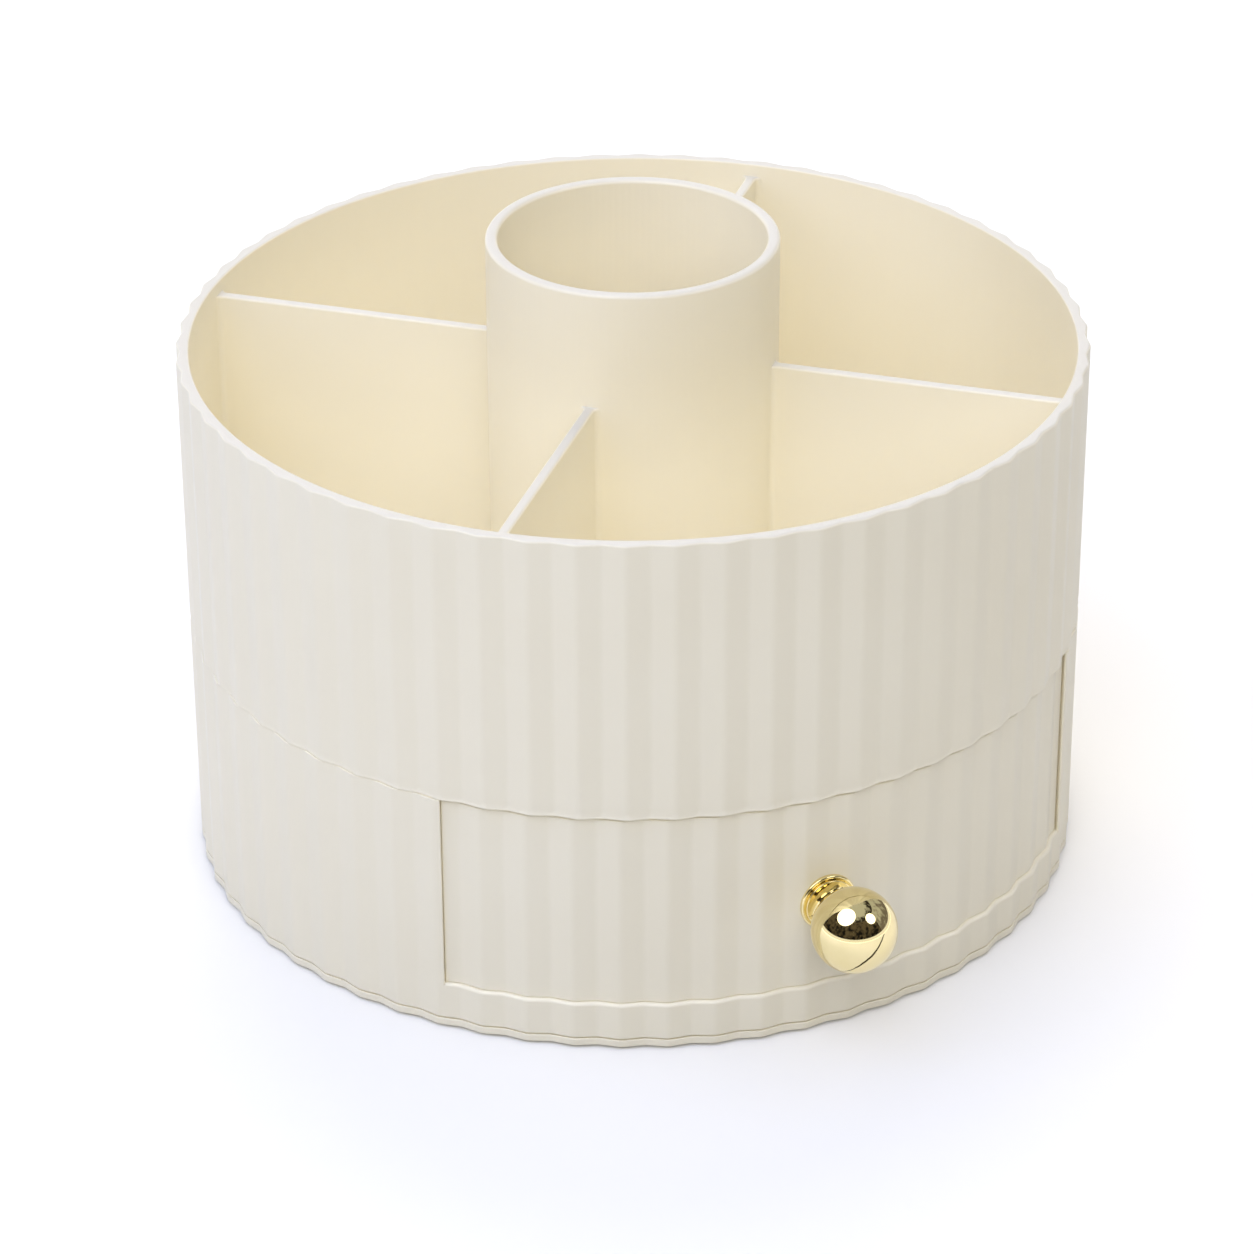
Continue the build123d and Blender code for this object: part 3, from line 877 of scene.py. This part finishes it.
cream = cream_plastic()
gold = gold_metal()
steel = bare_metal("steel", steel_tones, roughness=0.22)
ball_steel = bare_metal("ball_steel", ball_steel_tones, roughness=0.06)
cage = soft_material("cage_plastic", cage_tones, roughness=0.45, grain_scale=3000)
rubber = soft_material("pad_rubber", rubber_tones, roughness=0.6, grain_scale=4200)

kept_nodes = {
    "knob_washer": steel,
    "knob_screw": steel,
    "tray_screws": steel,
    "pivot_washer": steel,
    "pivot_screw": steel,
    "ball_cage": cage,
    "bearing_balls": ball_steel,
    "foot_pads": rubber,
}
for node_name, material in kept_nodes.items():
    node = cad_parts[node_name]
    node.data.materials.clear()
    node.data.materials.append(material)

make_tray(cream)
make_housing(cream)
make_drawer(cream)
make_knob(gold)
make_foot(cream)


# Stage: a pale floor, a white world, soft lamps, and a dim room that only gloss shows


def room_material(name, tones, rise):
    """A dim room that glows unevenly, from its dark tone to its light one over a rise in height."""
    material = bpy.data.materials.new(name)
    material.use_nodes = True
    tree = material.node_tree
    tree.nodes.clear()
    output = add_node(tree, "ShaderNodeOutputMaterial")
    glow = add_node(tree, "ShaderNodeEmission", {"Strength": 1})
    place = add_node(tree, "ShaderNodeTexCoord")
    height = add_node(tree, "ShaderNodeSeparateXYZ")
    level = add_node(tree, "ShaderNodeMapRange", {"From Min": rise[0], "From Max": rise[1]})
    patches = between(tree, noise(tree, room_patch_scale, 3), -room_unevenness, room_unevenness)
    total = add_node(tree, "ShaderNodeMath", operation="ADD")
    tree.links.new(place.outputs["Object"], height.inputs[0])
    tree.links.new(height.outputs["Z"], level.inputs["Value"])
    tree.links.new(level.outputs["Result"], total.inputs[0])
    tree.links.new(patches, total.inputs[1])
    tree.links.new(tint(tree, total.outputs[0], tones), glow.inputs["Color"])
    tree.links.new(glow.outputs["Emission"], output.inputs["Surface"])
    return material


def make_stage(name, sheet, material):
    """Make a piece of the stage."""
    mesh = bpy.data.meshes.new(name)
    mesh.from_pydata([tuple(point) for point in sheet[0]], [], sheet[1])
    mesh.materials.append(material)
    piece = bpy.data.objects.new(name, mesh)
    bpy.context.scene.collection.objects.link(piece)
    return piece


def make_floor():
    """A wide pale floor that keeps the object's shadow and fades to white for the camera."""
    material = bpy.data.materials.new("floor")
    material.use_nodes = True
    tree = material.node_tree
    tree.nodes.clear()
    output = add_node(tree, "ShaderNodeOutputMaterial")
    diffuse = add_node(tree, "ShaderNodeBsdfDiffuse")
    colour = add_node(tree, "ShaderNodeMix", data_type="RGBA")
    colour.inputs["A"].default_value = (*(floor_bounce * c for c in floor_colour), 1)
    colour.inputs["B"].default_value = (*floor_colour, 1)
    glow = add_node(tree, "ShaderNodeEmission", {"Color": (1, 1, 1, 1)})
    light_path = add_node(tree, "ShaderNodeLightPath")
    seen = add_node(tree, "ShaderNodeMath", operation="MAXIMUM")
    lift = add_node(tree, "ShaderNodeMath", operation="MULTIPLY")
    place = add_node(tree, "ShaderNodeTexCoord")
    distance = add_node(tree, "ShaderNodeVectorMath", operation="LENGTH")
    fade = add_node(tree, "ShaderNodeMapRange", {"From Min": floor_fade[0], "From Max": floor_fade[1],
                                                 "To Min": floor_glow, "To Max": 1})
    tree.links.new(place.outputs["Object"], distance.inputs[0])
    tree.links.new(distance.outputs["Value"], fade.inputs["Value"])
    tree.links.new(fade.outputs["Result"], lift.inputs[1])
    total = add_node(tree, "ShaderNodeAddShader")
    tree.links.new(light_path.outputs["Is Camera Ray"], seen.inputs[0])
    tree.links.new(light_path.outputs["Is Glossy Ray"], seen.inputs[1])
    tree.links.new(seen.outputs[0], lift.inputs[0])
    tree.links.new(seen.outputs[0], colour.inputs["Factor"])
    tree.links.new(colour.outputs["Result"], diffuse.inputs["Color"])
    tree.links.new(lift.outputs[0], glow.inputs["Strength"])
    tree.links.new(diffuse.outputs["BSDF"], total.inputs[0])
    tree.links.new(glow.outputs["Emission"], total.inputs[1])
    tree.links.new(total.outputs["Shader"], output.inputs["Surface"])
    sheet = ([], [])
    add_rows(sheet, round_rows(round_line(1, floor_sides), [(reach, 0) for reach in floor_rings]))
    add_cap(sheet, 0, floor_sides)
    make_stage("floor", sheet, material)


def show_in_gloss(card):
    """Show a screen in gloss alone."""
    card.visible_camera = False
    card.visible_diffuse = False
    card.visible_transmission = False
    card.visible_volume_scatter = False
    card.visible_shadow = False


def make_card(name, distance, azimuths, elevations, rise, tones):
    """A curved screen of the dim room, seen in reflections alone."""
    sheet = ([], [])
    rows = []
    for j in range(card_rows + 1):
        elevation = elevations[0] + (elevations[1] - elevations[0]) * j / card_rows
        rows.append([])
        for i in range(card_columns + 1):
            azimuth = azimuths[0] + (azimuths[1] - azimuths[0]) * i / card_columns
            rows[-1].append(direction(camera_azimuth + azimuth, elevation) * distance)
    add_rows(sheet, rows, closed=False)
    show_in_gloss(make_stage(name, sheet, room_material(name, tones, rise)))


def make_reflected_dark_line():
    """A thin dark line on the floor before the object, seen in gloss alone, which paints a dark
    reflection into the knob.
    """
    start = Vector((0, knob_seat - ball_reach, dark_line_lift))
    side = direction(camera_azimuth + 90, 0)
    near = direction(camera_azimuth, 0)
    rows = []
    for reach, depth, width in dark_line_places:
        place = start + side * reach + near * depth
        rows.append([place - near * width / 2, place + near * width / 2])
    sheet = ([], [])
    add_rows(sheet, rows, closed=False)
    show_in_gloss(make_stage("reflected_dark_line", sheet, room_material("reflected_dark_line", dark_line_tones, dark_line_rise)))


def make_lamp(name, distance, azimuth, elevation, size, colour, power):
    """A round soft lamp that faces the object."""
    data = bpy.data.lights.new(name, "AREA")
    data.shape = "DISK"
    data.size = size
    data.color = colour
    data.energy = power
    lamp = bpy.data.objects.new(name, data)
    bpy.context.scene.collection.objects.link(lamp)
    back = direction(camera_azimuth + azimuth, elevation)
    lamp.location = Vector((0, 0, lamp_aim_level)) + back * distance
    lamp.rotation_euler = back.to_track_quat("Z", "Y").to_euler()
    return lamp


def make_world():
    """A white world for the camera and for gloss, and one for light that grows brighter upwards."""
    world = bpy.data.worlds.new("studio")
    bpy.context.scene.world = world
    world.use_nodes = True
    tree = world.node_tree
    tree.nodes.clear()
    output = add_node(tree, "ShaderNodeOutputWorld")
    light = add_node(tree, "ShaderNodeBackground", {"Strength": 1})
    place = add_node(tree, "ShaderNodeTexCoord")
    height = add_node(tree, "ShaderNodeSeparateXYZ")
    square = add_node(tree, "ShaderNodeMath", {1: 2}, operation="POWER")
    ramp = add_node(tree, "ShaderNodeMix", data_type="RGBA")
    ramp.inputs["A"].default_value = (*horizon_light, 1)
    ramp.inputs["B"].default_value = (*zenith_light, 1)
    tree.links.new(place.outputs["Generated"], height.inputs[0])
    tree.links.new(height.outputs["Z"], square.inputs[0])
    tree.links.new(square.outputs[0], ramp.inputs["Factor"])
    tree.links.new(ramp.outputs["Result"], light.inputs["Color"])
    seen = add_node(tree, "ShaderNodeBackground", {"Color": (1, 1, 1, 1), "Strength": 1})
    light_path = add_node(tree, "ShaderNodeLightPath")
    straight = add_node(tree, "ShaderNodeMath", operation="MAXIMUM")
    either = add_node(tree, "ShaderNodeMath", operation="MAXIMUM")
    mix = add_node(tree, "ShaderNodeMixShader")
    tree.links.new(light_path.outputs["Is Camera Ray"], straight.inputs[0])
    tree.links.new(light_path.outputs["Is Transmission Ray"], straight.inputs[1])
    tree.links.new(straight.outputs[0], either.inputs[0])
    tree.links.new(light_path.outputs["Is Glossy Ray"], either.inputs[1])
    tree.links.new(either.outputs[0], mix.inputs[0])
    tree.links.new(light.outputs["Background"], mix.inputs[1])
    tree.links.new(seen.outputs["Background"], mix.inputs[2])
    tree.links.new(mix.outputs["Shader"], output.inputs["Surface"])


def make_camera():
    """The photograph's camera."""
    azimuth = radians(camera_azimuth)
    roll = radians(camera_roll)
    back = direction(camera_azimuth, camera_elevation)
    side = Vector((cos(azimuth), sin(azimuth), 0))
    up = back.cross(side)
    aim = side * camera_aim_side + Vector((0, 0, camera_aim_level))
    data = bpy.data.cameras.new("camera")
    data.lens = camera_lens
    data.sensor_width = camera_sensor
    camera = bpy.data.objects.new("camera", data)
    bpy.context.scene.collection.objects.link(camera)
    columns = (side * cos(roll) + up * sin(roll), up * cos(roll) - side * sin(roll), back)
    turn = Matrix(columns).transposed().to_4x4()
    camera.matrix_world = Matrix.Translation(aim + back * camera_distance) @ turn
    bpy.context.scene.camera = camera


make_floor()
for card_name, settings in cards.items():
    make_card(card_name, **settings)
# The dark line is a painted reflection, seen only in the knob
make_reflected_dark_line()
for lamp_name, settings in lamps.items():
    make_lamp(lamp_name, lamp_distance, **settings).visible_glossy = False
for lamp_name, settings in shines.items():
    make_lamp(lamp_name, shine_distance, **settings).visible_diffuse = False
make_world()
make_camera()
bpy.context.scene.cycles.diffuse_bounces = diffuse_bounces
bpy.context.scene.view_settings.view_transform = "Standard"
